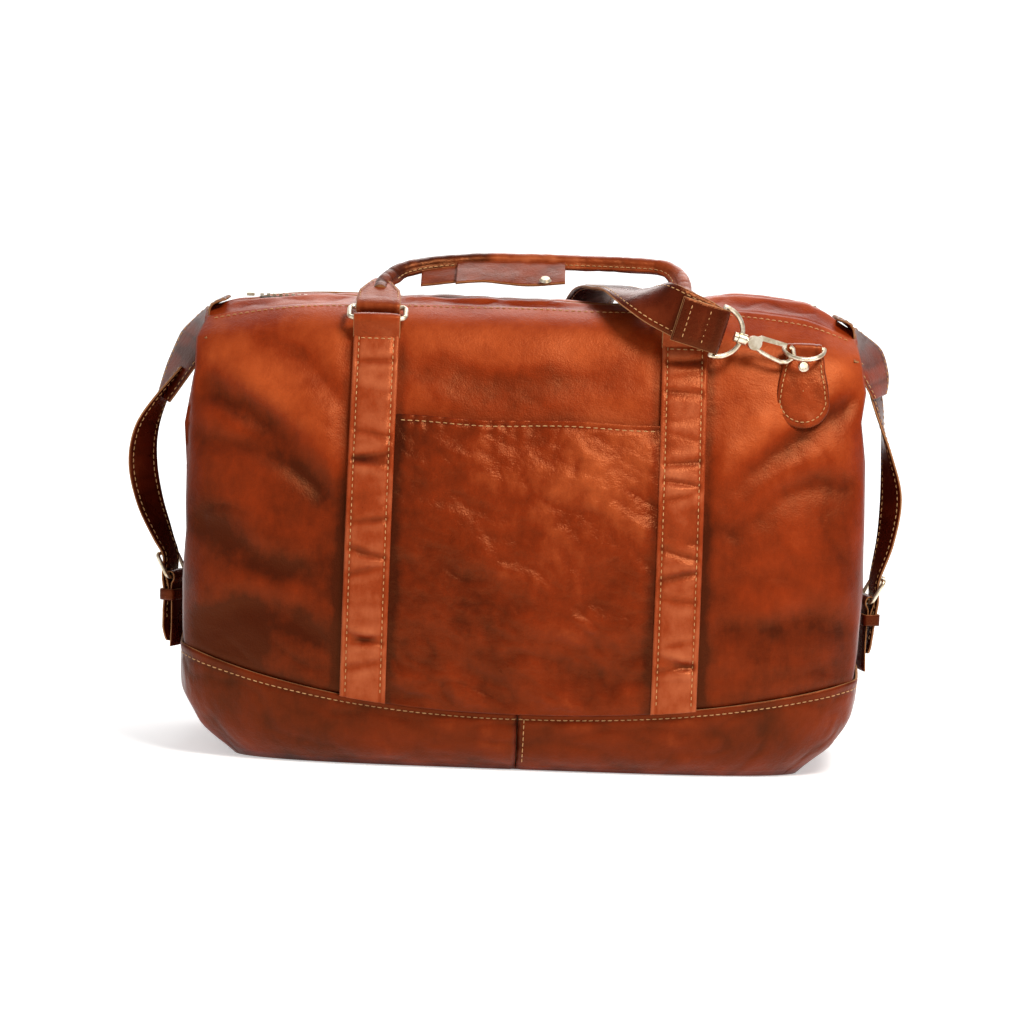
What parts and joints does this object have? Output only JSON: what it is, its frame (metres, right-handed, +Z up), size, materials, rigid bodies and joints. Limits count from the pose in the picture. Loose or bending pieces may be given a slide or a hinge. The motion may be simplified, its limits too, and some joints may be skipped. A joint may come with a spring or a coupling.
{
  "type": "duffel bag",
  "caption": "Leather weekender duffel bag with a zip top, rolled handles on rings, slip pocket, clipped shoulder strap and buckled side straps.",
  "frame": {"origin": "middle of the underside, on the plane the bag stands on", "axes": "+X along the bag to the right as seen from the front, -Y is the front with the slip pocket, +Z up"},
  "size_m": [0.6195, 0.3205, 0.4039],
  "materials": {
    "shell_leather": "waxed cognac leather, semi-gloss, soft grain",
    "base_leather": "waxed cognac leather, semi-gloss",
    "pocket_leather": "crinkled glossy cognac leather",
    "strap_leather": "cognac leather, polished on the raised pads",
    "handle_leather": "rolled cognac leather, polished by use",
    "dark_strap_leather": "glossy mahogany leather with raw tan edges",
    "old_brass": "pale antique brass, satin",
    "zip_tape": "dark brown woven tape",
    "lining_cotton": "plain khaki cotton twill",
    "base_fibreboard": "pressed fibreboard"
  },
  "bodies": {
    "root": {"zip_teeth_front": "old_brass", "zip_teeth_back": "old_brass", "zip_end_stops": "old_brass", "tab_rivets": "old_brass", "adjuster_buckle": "old_brass", "front_panel": "shell_leather", "back_panel": "shell_leather", "end_panel_left": "shell_leather", "end_panel_right": "shell_leather", "zip_facing_front": "shell_leather", "zip_facing_back": "shell_leather", "zip_tongue_left": "shell_leather", "zip_tongue_right": "shell_leather", "base_band_left": "base_leather", "base_band_right": "base_leather", "base_underside": "base_leather", "front_pocket": "pocket_leather", "strap_front_left": "strap_leather", "strap_front_right": "strap_leather", "strap_back_left": "strap_leather", "strap_back_right": "strap_leather", "ring_loops_front": "strap_leather", "ring_loops_back": "strap_leather", "d_ring_tab_front": "strap_leather", "d_ring_tab_back": "strap_leather", "shoulder_strap_long": "dark_strap_leather", "shoulder_strap_short": "dark_strap_leather", "adjuster_keepers": "dark_strap_leather", "side_strap_left": "dark_strap_leather", "side_strap_right": "dark_strap_leather", "side_chape_left": "dark_strap_leather", "side_chape_right": "dark_strap_leather", "side_keeper_left": "dark_strap_leather", "side_keeper_right": "dark_strap_leather", "lining_front": "lining_cotton", "lining_back": "lining_cotton", "lining_ends": "lining_cotton", "base_board": "base_fibreboard", "zip_tapes": "zip_tape"},
    "front_rings": {"rings_front": "old_brass"},
    "front_handle": {"handle_front": "handle_leather", "handle_wrap": "handle_leather", "wrap_stud_cap": "old_brass"},
    "back_rings": {"rings_back": "old_brass"},
    "back_handle": {"handle_back": "handle_leather"},
    "slider": {"zip_slider": "old_brass"},
    "puller": {"zip_puller": "old_brass"},
    "front_d_ring": {"d_ring_front": "old_brass"},
    "back_d_ring": {"d_ring_back": "old_brass"},
    "front_swivel": {"hook_swivel_front": "old_brass"},
    "front_hook": {"hook_body_front": "old_brass"},
    "front_gate": {"hook_gate_front": "old_brass"},
    "back_swivel": {"hook_swivel_back": "old_brass"},
    "back_hook": {"hook_body_back": "old_brass"},
    "back_gate": {"hook_gate_back": "old_brass"},
    "left_buckle": {"side_buckle_left": "old_brass"},
    "left_prong": {"side_prong_left": "old_brass"},
    "right_buckle": {"side_buckle_right": "old_brass"},
    "right_prong": {"side_prong_right": "old_brass"},
    "adjuster_tongue": {"adjuster_prong": "old_brass"}
  },
  "joints": [
    {"name": "front_ring_swing", "type": "hinge", "parent": "root", "child": "front_rings", "pos_m": [0, -0.08, 0.3512], "axis": [1, 0, 0], "range_deg": [0, 34]},
    {"name": "front_handle_swing", "type": "hinge", "parent": "front_rings", "child": "front_handle", "pos_m": [0, -0.06278, 0.35923], "axis": [1, 0, 0], "range_deg": [0, 28]},
    {"name": "back_ring_swing", "type": "hinge", "parent": "root", "child": "back_rings", "pos_m": [0, 0.08, 0.3512], "axis": [1, 0, 0], "range_deg": [0, 80]},
    {"name": "back_handle_swing", "type": "hinge", "parent": "back_rings", "child": "back_handle", "pos_m": [0, 0.08892, 0.33442], "axis": [1, 0, 0], "range_deg": [0, 85]},
    {"name": "zip_slide", "type": "slide", "parent": "root", "child": "slider", "axis": [-1, 0, 0], "range_m": [0, 0.4]},
    {"name": "puller_swing", "type": "hinge", "parent": "slider", "child": "puller", "pos_m": [0.2, 0, 0.3694], "axis": [0, -1, 0], "range_deg": [0, 150]},
    {"name": "front_d_ring_swing", "type": "hinge", "parent": "root", "child": "front_d_ring", "pos_m": [0.216, -0.0772, 0.33897], "axis": [1, 0, 0], "range_deg": [-2, 3]},
    {"name": "back_d_ring_swing", "type": "hinge", "parent": "root", "child": "back_d_ring", "pos_m": [-0.216, 0.0772, 0.33897], "axis": [1, 0, 0], "range_deg": [-1, 0]},
    {"name": "front_swivel_swing", "type": "hinge", "parent": "root", "child": "front_swivel", "pos_m": [0.14644, -0.09373, 0.35155], "axis": [0.2728, 0.0388, 0.9613], "range_deg": [-1, 0]},
    {"name": "front_hook_turn", "type": "hinge", "parent": "front_swivel", "child": "front_hook", "pos_m": [0.14644, -0.09373, 0.35155], "axis": [0.9468, 0.1666, -0.2754], "range_deg": [0, 4]},
    {"name": "front_gate_open", "type": "hinge", "parent": "front_hook", "child": "front_gate", "pos_m": [0.17579, -0.08856, 0.34301], "axis": [-0.1708, 0.9853, 0.0087], "range_deg": [0, 5], "stiffness_Nm_per_rad": 0.05, "springref_deg": -11.46},
    {"name": "back_swivel_swing", "type": "hinge", "parent": "root", "child": "back_swivel", "pos_m": [-0.216, 0.11167, 0.27439], "axis": [-0.9999, 0.0037, -0.0095], "range_deg": [-0.4, 0]},
    {"name": "back_hook_turn", "type": "hinge", "parent": "back_swivel", "child": "back_hook", "pos_m": [-0.216, 0.11167, 0.27439], "axis": [-0.0102, -0.3655, 0.9307], "range_deg": [-3, 3]},
    {"name": "back_gate_open", "type": "hinge", "parent": "back_hook", "child": "back_gate", "pos_m": [-0.21632, 0.10033, 0.30324], "axis": [-0.9999, 0.0037, -0.0095], "range_deg": [0, 2], "stiffness_Nm_per_rad": 0.05, "springref_deg": -11.46},
    {"name": "left_buckle_swing", "type": "hinge", "parent": "root", "child": "left_buckle", "pos_m": [-0.28145, -0.00024, 0.131], "axis": [-0.4067, -0.9135, 0], "range_deg": [0, 8]},
    {"name": "left_prong_lift", "type": "hinge", "parent": "left_buckle", "child": "left_prong", "pos_m": [-0.28145, -0.00024, 0.131], "axis": [-0.4067, -0.9135, 0], "range_deg": [0, 18]},
    {"name": "right_buckle_swing", "type": "hinge", "parent": "root", "child": "right_buckle", "pos_m": [0.28141, -0.00013, 0.131], "axis": [-0.2079, 0.9781, 0], "range_deg": [0, 8]},
    {"name": "right_prong_lift", "type": "hinge", "parent": "right_buckle", "child": "right_prong", "pos_m": [0.28141, -0.00013, 0.131], "axis": [-0.2079, 0.9781, 0], "range_deg": [0, 18]},
    {"name": "adjuster_prong_lift", "type": "hinge", "parent": "root", "child": "adjuster_tongue", "pos_m": [-0.11757, 0.16085, 0.1055], "axis": [0.0352, -0.9994, -0.0018], "range_deg": [0, 15]}
  ]
}
